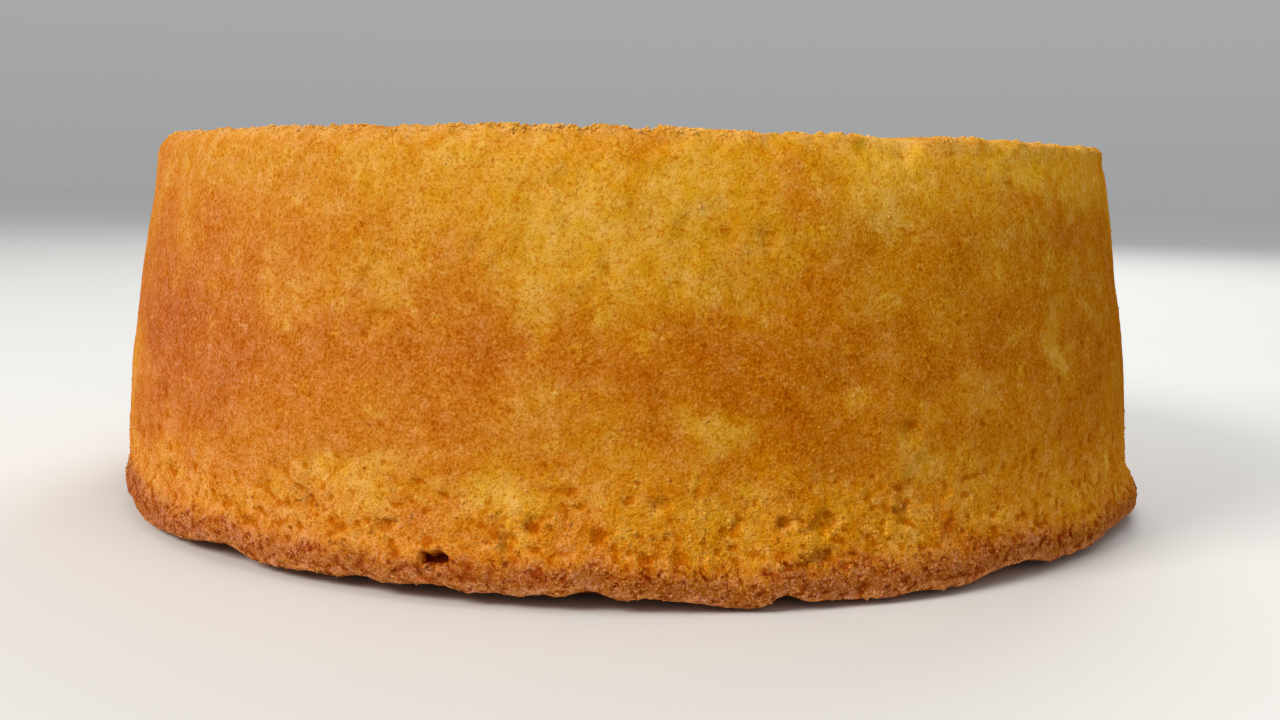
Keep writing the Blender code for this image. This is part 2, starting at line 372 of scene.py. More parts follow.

# Painted light and shade: how much lighter the crust's colour is made low down, high up and round its belly,
# and in the shade of the key lamp at this angle. The limits are cosines: 1 faces the lamp, -1 faces away.
SUNNY_ANGLE = -60.0
SHADED_LIMITS = (0.98, 0.17)
AVERTED_LIMITS = (-0.1, -0.7)
BASE_LIGHT = -0.03
SHADED_LIGHT = 0.10
AVERTED_LIGHT = -0.13
LOW_LIGHT = 0.20
LOW_SHADED_LIGHT = 0.12
HIGH_SHADED_LIGHT = 0.22
HIGH_LIMITS = (54.0 * MM, 67.0 * MM)
BELLY_LIGHT = 0.045
BELLY_Z = 29.0 * MM
BELLY_HALF = 15.0 * MM

# The left is rosier: how far left it starts and is full, as a share of the radius
ROSY_LIMITS = (-0.24, 1.0)

# Crumbs that cling to the crust: grains nearly all over, and larger crumbs along the top's edge
GRAINS = dict(count=9600, smallest=0.40 * MM, largest=1.05 * MM, rarer=2.0, sunk=0.38, paler=0.4, seed=5)
EDGE_CRUMBS = dict(count=2300, smallest=0.35 * MM, largest=1.15 * MM, rarer=1.6, sunk=0.20, paler=1.6, seed=6)

# Their stretches and unevenness, the spread of their browning, and how much less brown paler ones are
CRUMB_STRETCHES = ((0.8, 1.3), (0.7, 1.1), (0.55, 0.9))
CRUMB_UNEVEN = (0.62, 1.2)
CRUMB_BROWNINGS = 0.14
PALER_BROWNING = -0.12

# Where they cling: less on closed crust and in pores, and in clusters along the top's edge
CLOSED_GRAINS = 0.25
LIP_GRAINS = 0.8
PORE_BARE = 1.5
CRUMB_EDGE_HALF = 1.5 * MM
CRUMB_EDGE_FROM = 89.2 * MM
CRUMB_EDGE_REST = 0.10
CRUMB_EDGE_TURN = 36.0
CLUSTER_NOISE = (4.0 * MM, 88.0)
CLUSTER_BASE = 0.3
CLUSTER_SHARE = 2.0

# How far the body, and the crumbs at the side and at the top, stay inside the solid's box
BOX_MARGIN = 0.15 * MM
CRUMB_MARGIN = 0.05 * MM
CRUMB_TOP_MARGIN = 0.02 * MM

# The map of the body's textures: a square with four strips of side, and two discs beside them
MAP_NAME = "OFBake"
MAP_GAP = 2.0 * MM
STRIP_LENGTH = 156.0 * MM
STRIP_PITCH = 85.5 * MM
MAP_SIZE = 4.0 * STRIP_PITCH + MAP_GAP
DISC_X = STRIP_LENGTH + 2.0 * MAP_GAP + 91.0 * MM
TOP_ON_MAP = (DISC_X, 93.0 * MM)
UNDER_ON_MAP = (DISC_X, 230.0 * MM)
UNDER_SCALE = 0.4

# A crumb's upper half in its cell of the map: its scale and middle, and how far along its lower half lies
CELL_SCALE = (0.22, 0.44)
CELL_MIDDLE = (0.25, 0.5)
CELL_STEP = 0.5


def blend(value, first, second):
    """0 up to the first limit, 1 from the second on, smooth between. The second may be the lower one."""
    t = np.clip((value - first) / (second - first), 0.0, 1.0)
    return t * t * (3.0 - 2.0 * t)


def bump(distance):
    """1 at distance 0, falling smoothly to 0 at distance 1."""
    return np.maximum(0.0, 1.0 - distance * distance) ** 2


def turn(angle, other):
    """The short way round from one angle to another, in degrees."""
    return np.abs((angle - other + 180.0) % 360.0 - 180.0)


def swells(angle, places):
    """Smooth swells round the cake, each given with its angle, half width and height."""
    return sum(height * bump(turn(angle, at) / half) for at, half, height in places)


def outward_at(angle):
    """Level directions out from the cake's axis at the given angles."""
    a = np.radians(angle)
    return np.stack([np.sin(a), -np.cos(a), np.zeros_like(a)], axis=-1)


def sample(places):
    """Noise at each place."""
    return np.array([noise.noise(place) for place in places.tolist()])


def field(places, length, seed):
    """Noise with waves of a length at each place, about -0.5 to 0.5."""
    return sample(places / length + np.array((seed, -seed, 2.0 * seed)))


def layers(places, parts):
    """Sum of noises, each given with its share, wave length and seed."""
    return sum(share * field(places, length, seed) for share, length, seed in parts)


def domes(places, size, seed):
    """Grains packed side by side: 1 at the middle of each, 0 in the creases between."""
    near = [noise.voronoi(place)[0][0] for place in (places / size + seed).tolist()]
    return np.clip(1.0 - (np.array(near) / DOME_HALF) ** 2, 0.0, 1.0)


def waves(angle, cycles, seed):
    """Noise that closes on itself round the cake."""
    places = outward_at(angle) * (cycles, -cycles, 0.0)
    places[:, 2] = seed
    return sample(places)


def side_radius(z):
    """Radius of the plain side wall at a height."""
    u = (z - WAIST_Z) / (SHOULDER_Z - WAIST_Z)
    return WAIST_RADIUS + (SHOULDER_RADIUS - WAIST_RADIUS) * u + 4.0 * SIDE_BOW * u * (1.0 - u)


def turned_places(angle, radius, z):
    """Places given by their angles, radii and heights."""
    places = outward_at(angle) * radius[:, None]
    places[:, 2] = z
    return places


def back_notches():
    """Notches of the hidden part of the lip, spread unevenly."""
    rng = random.Random(BACK_SEED)
    step = BACK_SPAN / BACK_NOTCHES
    return [(BACK_FROM + step * (i + rng.uniform(*BACK_SPREAD)), rng.uniform(*BACK_HALF_WIDTHS),
             rng.uniform(*BACK_LIFTS)) for i in range(BACK_NOTCHES)]


NOTCHES = FRONT_NOTCHES + tuple(back_notches())


def lip_lift(angle):
    """How far the lip's lower edge stands above its plain height."""
    lift = LONG_SCALLOP * waves(angle, LONG_WAVES, LONG_SEED)
    lift += SHORT_SCALLOP * waves(angle, SHORT_WAVES, SHORT_SEED)
    return lift + swells(angle, NOTCHES)


def patch_distance(angle, z, patch):
    """How far each place is from a patch's middle, 1 at its rim."""
    at, height, half_width, half_height = patch[:4]
    across = np.radians(turn(angle, at)) * side_radius(z) / half_width
    return np.hypot(across, (z - height) / half_height)


def tear_at(angle, z, fray):
    """1 inside a patch of peeled crust, 0 outside, with a frayed rim."""
    nearest = np.min([patch_distance(angle, z, patch) for patch in PEELED], axis=0)
    return blend(PEEL_REACH - nearest + fray, 0.0, PEEL_FADE) * (z > WAIST_Z)


def relief(places, tear):
    """Moves places on the plain turned shape to the uneven baked surface."""
    x, y, z = places.T
    radius = np.hypot(x, y)
    angle = np.degrees(np.arctan2(x, -y))
    outward = outward_at(angle) * (radius > MM)[:, None]
    rim = blend(radius, TOP_RIM, SHOULDER_RADIUS - CORNER_WIDTH)

    # Body: long waves and shallow dimples, the peeled patches, and the shift against the lip
    seed = np.array((0.0, 0.0, WANDER_SEED))
    push = WANDER * sample(places / WANDER_LENGTH + seed)
    push += DIMPLE * sample(places / DIMPLE_LENGTH - seed)
    push -= PEEL_DEPTH * tear
    body = blend(z, NOSE_Z, WAIST_Z)
    moved = places + outward * (push * rim * body)[:, None]
    moved[:, 0] -= BODY_SHIFT * body

    # Top: slow waves of the flat crust, a crumbling edge with chips out of it, and the right's chamfer
    waver = TOP_WAVER * sample(places * (1.0, 1.0, 0.0) / TOP_WAVER_LENGTH)
    moved[:, 2] += waver * blend(z, SHOULDER_Z, HEIGHT)
    crumble = CRUMBLE * waves(angle, CRUMBLE_WAVES, z / CRUMBLE_LENGTH)
    crumble -= swells(angle, CHIPS)
    crumble *= rim * bump((HEIGHT - z) / CRUMBLE_BAND)
    moved += outward * (crumble * CRUMBLE_OUTWARD)[:, None]
    moved[:, 2] += crumble * CRUMBLE_UPWARD
    drop = np.clip((HEIGHT - z) / (HEIGHT - SHOULDER_Z), 0.0, 1.0)
    skew = np.maximum(0.0, outward[:, 0]) * np.cos(SKEW_TURN * drop) * (1.0 - drop)
    moved += outward * (CORNER_SKEW * skew * rim)[:, None]

    # Lip: scallops of its lower edge and an uneven overhang, fading out at the waist and the rest patch
    lip = (1.0 - body) * blend(radius, REST_RADIUS, LIP_RADIUS - EDGE_INSET)
    moved[:, 2] += lip_lift(angle) * lip
    moved += outward * (OVERHANG_WAVER * waves(angle, LONG_WAVES, OVERHANG_SEED) * lip)[:, None]
    moved[:, 2] = np.maximum(moved[:, 2], 0.0)
    return moved


def rows_between(start, end, spacing):
    """How far along each row lies, 0 at the start, with the end left out."""
    count = max(1, round(abs(end - start) / spacing))
    return [i / count for i in range(count)]


def eighths(number):
    """The nearest multiple of 8, so that a ring has a point at each quarter turn."""
    return 8 * max(1, round(number / 8))


def ring_list():
    """Radius, height and number of points of each ring, from the middle of the top to the middle below."""
    flat = SHOULDER_RADIUS - CORNER_WIDTH
    edge = LIP_RADIUS - EDGE_INSET
    yield 0.0, HEIGHT, 1
    for t in rows_between(0.0, EDGE_FROM, TOP_SPACING)[1:]:
        yield EDGE_FROM * t, HEIGHT, eighths(2.0 * math.pi * EDGE_FROM * t / TOP_SPACING)
    for t in rows_between(EDGE_FROM, flat, EDGE_SPACING):
        yield EDGE_FROM + (flat - EDGE_FROM) * t, HEIGHT, EDGE_COUNT
    for t in rows_between(0.0, ARC_SHARE * (HEIGHT - SHOULDER_Z), EDGE_SPACING):
        a = math.pi / 2 * t
        yield flat + CORNER_WIDTH * math.sin(a), SHOULDER_Z + (HEIGHT - SHOULDER_Z) * math.cos(a), EDGE_COUNT
    for high, low, spacing, count in ((SHOULDER_Z, FINE_Z, SIDE_SPACING, SIDE_COUNT),
                                      (FINE_Z, WAIST_Z, FINE_SPACING, FINE_COUNT)):
        for t in rows_between(high, low, spacing):
            z = high + (low - high) * t
            yield side_radius(z), z, count
    for t in rows_between(WAIST_Z, NOSE_Z, FINE_SPACING):
        radius = WAIST_RADIUS + (LIP_RADIUS - WAIST_RADIUS) * blend(t, 0.0, 1.0)
        yield radius, WAIST_Z + (NOSE_Z - WAIST_Z) * t, FINE_COUNT
    for t in rows_between(0.0, ARC_SHARE * (NOSE_Z - EDGE_Z), FINE_SPACING):
        a = math.pi / 2 * t
        radius = LIP_RADIUS - EDGE_INSET * (1.0 - math.cos(a))
        yield radius, NOSE_Z + (EDGE_Z - NOSE_Z) * math.sin(a), FINE_COUNT
    for t in rows_between(edge, REST_RADIUS, UNDER_SPACING):
        count = UNDER_COUNT if t > 0.0 else FINE_COUNT
        yield edge + (REST_RADIUS - edge) * t, EDGE_Z * (1.0 - t) ** CURL_POWER, count
    for share in UNDER_SHARES:
        yield REST_RADIUS * share, 0.0, eighths(UNDER_COUNT * share)
    yield 0.0, 0.0, 1


def stitch(first, count, second, other):
    """Faces between two rings, given the first index and the number of points of each."""
    if count == other:
        return [(first + i, second + i, second + (i + 1) % other, first + (i + 1) % count)
                for i in range(count)]
    faces = []
    i = j = 0
    while i < count or j < other:
        a, b = first + i % count, second + j % other
        if i == count or (j < other and other > 1 and (j + 1) / other <= (i + 1) / count) or count == 1:
            faces.append((a, b, second + (j + 1) % other))
            j += 1
            if count == 1 and j == other:
                break
        else:
            faces.append((a, b, first + (i + 1) % count))
            i += 1
            if other == 1 and i == count:
                break
    return faces


def hole_places():
    """The named holes, then the seeded ones all round, each clear of the others."""
    rng = random.Random(HOLE_SEED)
    places = list(FRONT_HOLES)
    while len(places) < len(FRONT_HOLES) + HOLE_COUNT:
        angle = rng.uniform(-180.0, 180.0)
        z = rng.triangular(*HOLE_HEIGHTS)
        width = rng.uniform(*HOLE_WIDTHS)
        tall = width * rng.uniform(*HOLE_FLATNESS)
        clear = all(math.hypot(math.radians(turn(angle, other[0])) * WAIST_RADIUS, z - other[1])
                    > (width + other[2]) / 2 + HOLE_GAP for other in places)
        if clear:
            places.append((angle, z, width, tall, rng.uniform(*HOLE_DEPTHS)))
    return places


def pore_places():
    """The small pores all round, thinning out up the side."""
    rng = random.Random(PORE_SEED)
    places = []
    while len(places) < PORE_COUNT:
        angle = rng.uniform(-180.0, 180.0)
        z = PORE_LOWEST + rng.expovariate(1.0 / PORE_RISE)
        width = rng.triangular(*PORE_WIDTHS)
        if z < SHOULDER_Z:
            places.append((angle, z, width, width * rng.uniform(*PORE_FLATNESS),
                           width * rng.uniform(*PORE_DEPTHS)))
    return places


def sink_pores(points, normals):
    """Pushes the surface in at every hole and pore, and returns how dark the painted shade in it makes each
    point.
    """
    holes = np.array(hole_places() + pore_places())
    places = turned_places(holes[:, 0], side_radius(holes[:, 1]), holes[:, 1])
    centres = relief(places, np.zeros(len(holes)))
    rough = field(points, *RIM_NOISE)
    dark = np.zeros(len(points))
    for (angle, _, width, tall, depth), centre in zip(holes, centres):
        a = math.radians(angle)
        near = np.nonzero(np.abs(points - centre).max(axis=1) < width)[0]
        offset = points[near] - centre
        across = offset @ np.array((math.cos(a), math.sin(a), 0.0)) / (width / 2)
        distance = np.hypot(across, offset[:, 2] / (tall / 2)) + RIM_RAGGED * rough[near]
        inside = blend(RIM_REACH - distance, 0.0, RIM_SLOPE)
        deep = depth >= DEEP_HOLE
        sunk = depth if deep else depth * SHALLOW_SHARE
        shade = DEEP_DARK if deep else NARROW_DARK if width < WIDE_HOLE else WIDE_DARK
        points[near] -= normals[near] * (inside * sunk)[:, None]
        dark[near] = np.maximum(dark[near], inside * shade)
    return dark


def hidden_tones():
    """Paler and browner patches of the sides that the front doesn't show."""
    rng = random.Random(HIDDEN_SEED)
    tones = [(at, z, half_width * PEELED_SCALE, half_height * PEELED_SCALE, PEELED_CHANGE)
             for at, z, half_width, half_height in PEELED if HIDDEN_FROM < at < HIDDEN_TO]
    for _ in range(HIDDEN_TONES):
        size = rng.uniform(*HIDDEN_SIZES)
        angle = rng.uniform(HIDDEN_FROM, HIDDEN_TO)
        z = rng.uniform(*HIDDEN_HEIGHTS)
        tall = size * rng.uniform(*HIDDEN_FLATNESS)
        tones.append((angle, z, size, tall, rng.choice(HIDDEN_KINDS) * rng.uniform(*HIDDEN_CHANGES)))
    return tones + [(angle, *BELT) for angle in BELT_ANGLES]


def crust_tones(places, angle, z):
    """How brown the crust is, in ragged patches, and how pale the crumb that shows through it."""
    shifted_angle = angle + np.degrees(layers(places, WARP_ROUND) / WAIST_RADIUS)
    shifted_z = z + layers(places, WARP_UP)
    unseen = blend(turn(angle, 0.0), HIDDEN_FROM - HIDDEN_FADE, HIDDEN_FROM)
    side = BROWNING + layers(places, SIDE_MOTTLES) + unseen * layers(places, UNSEEN_MOTTLES)
    pale = np.zeros(len(places))
    for tone in TONES + tuple(hidden_tones()):
        distance = patch_distance(shifted_angle, shifted_z, tone)
        share = bump(distance / PATCH_REACH)
        heart = PALE_HEART * bump(distance) * (tone[2] <= SMALL_PATCH)
        side += tone[4] * share
        pale += max(0.0, -tone[4]) * (share + heart)
    top = TOP_BROWNING + layers(places, TOP_MOTTLES)
    upward = blend(z, TOP_FROM, HEIGHT)
    return side + (top - side) * upward, pale + (TOP_PALE - pale) * upward


def turned_surface(rings):
    """Radius, height and angle of each point of the plain turned form, and the way it faces."""
    radius, z, angle, normals = [], [], [], []
    for k, (ring_radius, ring_z, count) in enumerate(rings):
        before, after = rings[max(k - 1, 0)], rings[min(k + 1, len(rings) - 1)]
        slope = Vector((after[0] - before[0], after[1] - before[1])).normalized()
        turns = np.arange(count) * 360.0 / count
        radius.append(np.full(count, ring_radius))
        z.append(np.full(count, ring_z))
        angle.append(turns)
        normals.append(outward_at(turns) * -slope.y + np.array((0.0, 0.0, slope.x)))
    return [np.concatenate(parts) for parts in (radius, z, angle, normals)]


def lip_tones(radius, z, angle, noises):
    """Where the lip's brown band, its pale brim and the underside lie, 0 to 1 each."""
    band = LIP_BAND + BAND_WAVER * waves(angle, *BAND_WAVES) + swells(angle, BAND_RISES)
    reach = z - EDGE_Z - BAND_FOLLOWS * lip_lift(angle) + np.dot(BAND_FRAY, noises)
    outer = radius > REST_RADIUS
    lip = (1.0 - blend(reach, band - BAND_BELOW, band + BAND_ABOVE)) * outer
    lip *= BAND_BROWN + swells(angle, BAND_BROWNER)
    brim = bump((z - EDGE_Z) / BRIM_HEIGHT) * (BRIM_SHARE + BRIM_MOTTLE * noises[1]) * outer
    under = (1.0 - blend(z, UNDER_LOW, EDGE_Z) * outer) * (z <= EDGE_Z)
    return lip, np.clip(brim, 0.0, 1.0), under


def granules(places, noises, pits, crumb):
    """How far dents, grains and pits push the surface out, more where the crumb is open."""
    coarse, middle, fine = noises
    grains = domes(places, *GRAIN_DOMES) - GRAIN_LEVEL
    return COARSE_PUSH * coarse + crumb * (MIDDLE_PUSH * middle + FINE_PUSH * fine + GRAIN_PUSH * grains
                                           + PIT_PUSH * pits)


def ragged_edge(places, radius, angle):
    """How far the top's crumbling edge is pushed out."""
    edge = bump((places[:, 2] - RAGGED_Z) / RAGGED_HALF) * blend(radius, EDGE_FROM - MM, EDGE_FROM + 2.0 * MM)
    edge *= CRUMBLY_REST + (1.0 - CRUMBLY_REST) * bump(turn(angle, CRUMBLY_ANGLE) / CRUMBLY_HALF)
    return edge * np.clip(layers(places, RAGGED_NOISES), *RAGGED_LIMITS)


def painted_crust_light(places, low):
    """Painted light and shade: how much lighter the crust's colour is made by height and by the way it faces.
    """
    z = places[:, 2]
    sunny = places @ outward_at(SUNNY_ANGLE) / WAIST_RADIUS
    shaded = blend(sunny, *SHADED_LIMITS)
    high = blend(z, *HIGH_LIMITS) * (1.0 - blend(z, TOP_FROM, HEIGHT))
    light = BASE_LIGHT + SHADED_LIGHT * shaded + low * (LOW_LIGHT + LOW_SHADED_LIGHT * shaded)
    light += HIGH_SHADED_LIGHT * high * shaded + BELLY_LIGHT * bump((z - BELLY_Z) / BELLY_HALF)
    return light + AVERTED_LIGHT * blend(sunny, *AVERTED_LIMITS)


def fine_surface(rings):
    """Points of the fine body, ring by ring, and the named tones of its crust."""
    radius, z, angle, normals = turned_surface(rings)
    places = turned_places(angle, radius, z)
    noises = np.array([field(places, *kind) for kind in CRUST_NOISES])

    # Torn crust, the flake and the lip
    flake = blend(1.0 - patch_distance(angle, z, FLAKE) + np.dot(FLAKE_FRAY, noises[:2]), 0.0, FLAKE_FADE)
    flake *= radius > EDGE_FROM
    tear = np.maximum(tear_at(angle, z, np.dot(PEEL_FRAY, noises[:2])), flake)
    lip, brim, under = lip_tones(radius, z, angle, noises)

    # Relief, coarser where the crumb is open. The face that it rests on stays flat.
    low = 1.0 - blend(z, OPEN_BELOW, CLOSED_ABOVE)
    crumb = CLOSED_SHARE + (1.0 - CLOSED_SHARE) * np.maximum(low, TORN_SHARE * tear)
    crumb *= (1.0 - LIP_CALM * lip) * (z > 0.0)
    pits = np.maximum(0.0, field(places, *PIT_NOISE) - PIT_FROM)
    push = granules(places, noises, pits, crumb) + ragged_edge(places, radius, angle)
    points = relief(places, tear)
    points += normals * (push * (z > 0.0))[:, None]
    # The painted shade of holes, pores and pits
    pore = np.maximum(sink_pores(points, normals), np.clip(PIT_DARK * pits * crumb, 0.0, PIT_DARKEST))

    browning, pale = crust_tones(places, angle, z)
    tones = {
        "browning": browning + FLAKE_BROWNING * flake,
        "pale": pale + FLAKE_PALE * flake,
        "rosy": blend(-places[:, 0] / WAIST_RADIUS, *ROSY_LIMITS),
        "lip": lip,
        "brim": brim,
        "under": under,
        "pore": pore,
        "open": low,
        # Painted light and shade, by height and by the way the crust faces the key lamp
        "light": painted_crust_light(places, low),
    }
    return points, tones


def fit_in_box(points):
    """Centres the points on the solid's box and keeps them just inside it."""
    room = np.array(CAD_HIGH) - np.array(CAD_LOW) - np.array((2.0, 2.0, 1.0)) * BOX_MARGIN
    low, high = points.min(axis=0), points.max(axis=0)
    points[:, :2] -= (low[:2] + high[:2]) / 2
    points[:, 2] -= low[2]
    return points * np.minimum(1.0, room / (high - low))


def add_object(name, data):
    """Puts a new object into the scene."""
    thing = bpy.data.objects.new(name, data)
    bpy.context.scene.collection.objects.link(thing)
    return thing


def add_piece(name, points, faces, tones):
    """A mesh piece with its tones stored on its points, in place of or beside the solid."""
    mesh = bpy.data.meshes.new(name)
    mesh.from_pydata(points.tolist(), [], faces)
    mesh.shade_smooth()
    for tone, values in tones.items():
        attribute = mesh.attributes.new(tone, "FLOAT", "POINT")
        attribute.data.foreach_set("value", values.astype(np.float32))
    return add_object(name, mesh)


def add_map(mesh, places):
    """Stores where each face corner lies in the piece's textures, 0 to 1."""
    layer = mesh.uv_layers.new(name=MAP_NAME)
    layer.uv.foreach_set("vector", places.astype(np.float32).ravel())


def map_body(mesh, rings):
    """Lays the body out flat: the side in four strips, the top as a disc, the underside as a smaller one."""
    counts = [ring[2] for ring in rings]
    level = np.repeat(np.arange(len(rings)), counts)
    turns = np.concatenate([np.arange(count) * 4.0 / count for count in counts])
    radius, z = np.array(rings)[:, :2].T
    along = np.concatenate(([0.0], np.cumsum(np.hypot(np.diff(radius), np.diff(z)))))
    first = np.nonzero(radius > SHOULDER_RADIUS - CORNER_WIDTH)[0][0] - 1
    last = np.nonzero(z > 0.0)[0][-1] + 1

    corner = np.zeros(len(mesh.loops), dtype=np.int32)
    mesh.loops.foreach_get("vertex_index", corner)
    sides = np.zeros(len(mesh.polygons), dtype=np.int32)
    mesh.polygons.foreach_get("loop_total", sides)
    face = np.repeat(np.arange(len(sides)), sides)
    upper = np.minimum.reduceat(level[corner], np.cumsum(sides) - sides)[face]
    heading = np.radians(turns[corner] * 90.0)
    middle = np.arctan2(np.bincount(face, np.sin(heading)), np.bincount(face, np.cos(heading)))[face]
    strip = np.floor(np.degrees(middle) % 360.0 / 90.0)
    across = (turns[corner] - strip + 2.0) % 4.0 - 2.0
    down = along[level[corner]] - along[first]
    places = np.stack([across * STRIP_LENGTH, strip * STRIP_PITCH + down], axis=-1) + MAP_GAP
    spoke = np.stack([np.sin(heading), -np.cos(heading)], axis=-1) * radius[level[corner]][:, None]
    places = np.where((upper < first)[:, None], spoke + TOP_ON_MAP, places)
    places = np.where((upper >= last)[:, None], spoke * UNDER_SCALE + UNDER_ON_MAP, places)
    add_map(mesh, places / MAP_SIZE)


def fine_body():
    """The whole cake as one closed mesh."""
    rings = list(ring_list())
    points, tones = fine_surface(rings)
    starts = np.concatenate(([0], np.cumsum([ring[2] for ring in rings]))).tolist()
    faces = []
    for k in range(len(rings) - 1):
        faces += stitch(starts[k], rings[k][2], starts[k + 1], rings[k + 1][2])
    body = add_piece("sponge_body", fit_in_box(points), faces, tones)
    map_body(body.data, rings)
    return body


def read_tones(mesh):
    """The tones stored on a mesh, by name."""
    tones = {}
    for attribute in mesh.attributes:
        if attribute.data_type == "FLOAT" and attribute.domain == "POINT":
            values = np.zeros(len(mesh.vertices), dtype=np.float32)
            attribute.data.foreach_get("value", values)
            tones[attribute.name] = values
    return tones


def crumb_shape():
    """Corners and faces of a plain 20-sided crumb of radius 1."""
    shape = bmesh.new()
    bmesh.ops.create_icosphere(shape, subdivisions=1, radius=1.0)
    corners = np.array([vertex.co[:] for vertex in shape.verts])
    faces = np.array([[vertex.index for vertex in face.verts] for face in shape.faces])
    shape.free()
    return corners, faces


def map_crumbs(mesh, count, corners, sides):
    """Gives each crumb a cell of its own: its upper faces in one half, its lower ones in the other."""
    lower = corners[sides].mean(axis=1)[:, 2] < 0.0
    flat = corners[sides][:, :, :2] * CELL_SCALE + CELL_MIDDLE
    flat[lower, :, 0] += CELL_STEP
    columns = math.ceil(math.sqrt(count))
    cells = np.stack([np.arange(count) % columns, np.arange(count) // columns], axis=-1)
    add_map(mesh, (cells[:, None, None, :] + flat[None]) / columns)


def crumb_weights(body):
    """How likely a fine grain, and a larger crumb, is to cling at each point of the body."""
    places = np.array([vertex.co[:] for vertex in body.data.vertices])
    x, y, z = places.T
    tones = read_tones(body.data)
    whole = (z > MM) * np.maximum(0.0, 1.0 - PORE_BARE * tones["pore"])
    grains = (CLOSED_GRAINS + tones["open"] + LIP_GRAINS * tones["lip"]) * (1.0 - tones["under"])
    edge = bump((z - HEIGHT) / CRUMB_EDGE_HALF) * (np.hypot(x, y) > CRUMB_EDGE_FROM)
    edge *= CRUMB_EDGE_REST + bump(turn(np.degrees(np.arctan2(x, -y)), CRUMBLY_ANGLE) / CRUMB_EDGE_TURN)
    edge *= np.maximum(0.0, CLUSTER_BASE + CLUSTER_SHARE * field(places, *CLUSTER_NOISE))
    return grains * whole, edge * whole


def in_the_box(crumb):
    """Whether a crumb keeps clear of the solid's box."""
    return (np.abs(crumb[:, :2]).max() < CAD_HIGH[0] - CRUMB_MARGIN and crumb[:, 2].min() > 0.0
            and crumb[:, 2].max() < CAD_HIGH[2] - CRUMB_TOP_MARGIN)


def scatter_crumbs(name, body, weight, count, smallest, largest, rarer, sunk, paler, seed):
    """Irregular crumbs that sit in the body's surface, most where the weight is high."""
    rng = np.random.default_rng(seed)
    points = np.array([vertex.co[:] for vertex in body.data.vertices])
    normals = np.array([normal.vector[:] for normal in body.data.vertex_normals])
    corners, sides = crumb_shape()
    chosen = rng.choice(len(points), count, replace=False, p=weight / weight.sum())
    sizes = smallest + (largest - smallest) * rng.random(count) ** rarer
    kept, faces, sources = [], [], []
    for index, size in zip(chosen, sizes):
        facing = Vector(normals[index]).to_track_quat("Z", "Y").to_matrix()
        spin = facing @ Matrix.Rotation(rng.uniform(0.0, 2.0 * math.pi), 3, "Z")
        stretch = np.array([rng.uniform(*limits) for limits in CRUMB_STRETCHES])
        shape = corners * rng.uniform(*CRUMB_UNEVEN, (len(corners), 1)) * stretch * (size / 2)
        crumb = points[index] - normals[index] * (size / 2 * sunk) + shape @ np.array(spin).T
        if in_the_box(crumb):
            faces.append(sides + len(corners) * len(kept))
            kept.append(crumb)
            sources += [index] * len(corners)
    tones = {tone: values[sources] for tone, values in read_tones(body.data).items()}
    change = np.repeat(rng.normal(0.0, CRUMB_BROWNINGS, len(kept)), len(corners))
    tones["browning"] = tones["browning"] + change + PALER_BROWNING * paler
    tones["pale"] = tones["pale"] + paler
    tones["pore"] = np.zeros(len(sources))
    piece = add_piece(name, np.concatenate(kept), np.concatenate(faces).tolist(), tones)
    map_crumbs(piece.data, len(kept), corners, sides)
    return piece


def srgb(red, green, blue):
    """A colour given as the eye reads it, 0 to 255, in the linear values that a shader takes."""
    shares = [channel / 255 for channel in (red, green, blue)]
    return (*[share / 12.92 if share < 0.04 else ((share + 0.055) / 1.055) ** 2.4 for share in shares], 1.0)


# Colours of the crust from pale to brown, of the lip from its band to its very edge, and of the rest
CRUST_STOPS = (
    (0.00, srgb(192, 143, 29)),
    (0.25, srgb(185, 129, 17)),
    (0.50, srgb(177, 109, 8)),
    (0.75, srgb(166, 93, 4)),
    (1.00, srgb(152, 77, 4)),
)
ROSY_COLOUR = srgb(222, 128, 96)
PALE_COLOUR = srgb(244, 196, 116)
LIP_COLOUR = srgb(131, 66, 27)
ROSY_LIP_COLOUR = srgb(142, 77, 47)
LIP_EDGE_COLOUR = srgb(190, 124, 69)
UNDER_COLOUR = srgb(140, 82, 30)
# Paler tips of grains, partly painted highlight
TIP_HIGHLIGHT_COLOUR = srgb(232, 180, 84)
# Painted glints
PAINTED_GLINT_COLOUR = srgb(250, 208, 132)
# Painted shade in the creases between grains
CREASE_SHADE_TINT = srgb(236, 200, 150)
# Painted shade in pores and holes, in the lip's pits and crevices, and darkest in deep holes
PORE_SHADE_TINT = srgb(224, 188, 84)
PIT_SHADE_TINT = srgb(214, 168, 118)
CREVICE_SHADE_TINT = srgb(216, 180, 150)
DEEP_HOLE_SHADE_COLOUR = srgb(74, 20, 6)

# What multiplies the crust's colour: creases' painted shade to tips' painted highlights, rich patches to dry
# ones
PAINTED_CREASE_SHADE = (0.79, 0.74, 0.06, 1.0)
PAINTED_TIP_HIGHLIGHT = (1.21, 1.27, 2.10, 1.0)
RICH_SHADE = (0.99, 0.97, 0.52, 1.0)
DRY_SHADE = (1.01, 1.03, 1.50, 1.0)

# Sizes of the grains, dents and mottles in the crust's material
GLINT = 0.36 * MM
GRAIN = 0.52 * MM
FINE = 0.72 * MM
SPECK_CELL = 0.62 * MM
CLUMP = 1.25 * MM
PORE = 1.5 * MM
MIDDLE = 2.0 * MM
FLECK = 4.2 * MM
MOTTLE = 5.0 * MM
WOBBLE = 0.8 * MM
PORE_SQUASH = (1.0, 1.0, 1.6)

# Specks of painted glint: the share of cells without one, the largest and its soft rim, as shares of a cell
SPECK_RARITY = 0.3
SPECK_LARGEST = 0.32
SPECK_RIM = 0.14
CRUST_ROUGHNESS = 0.80


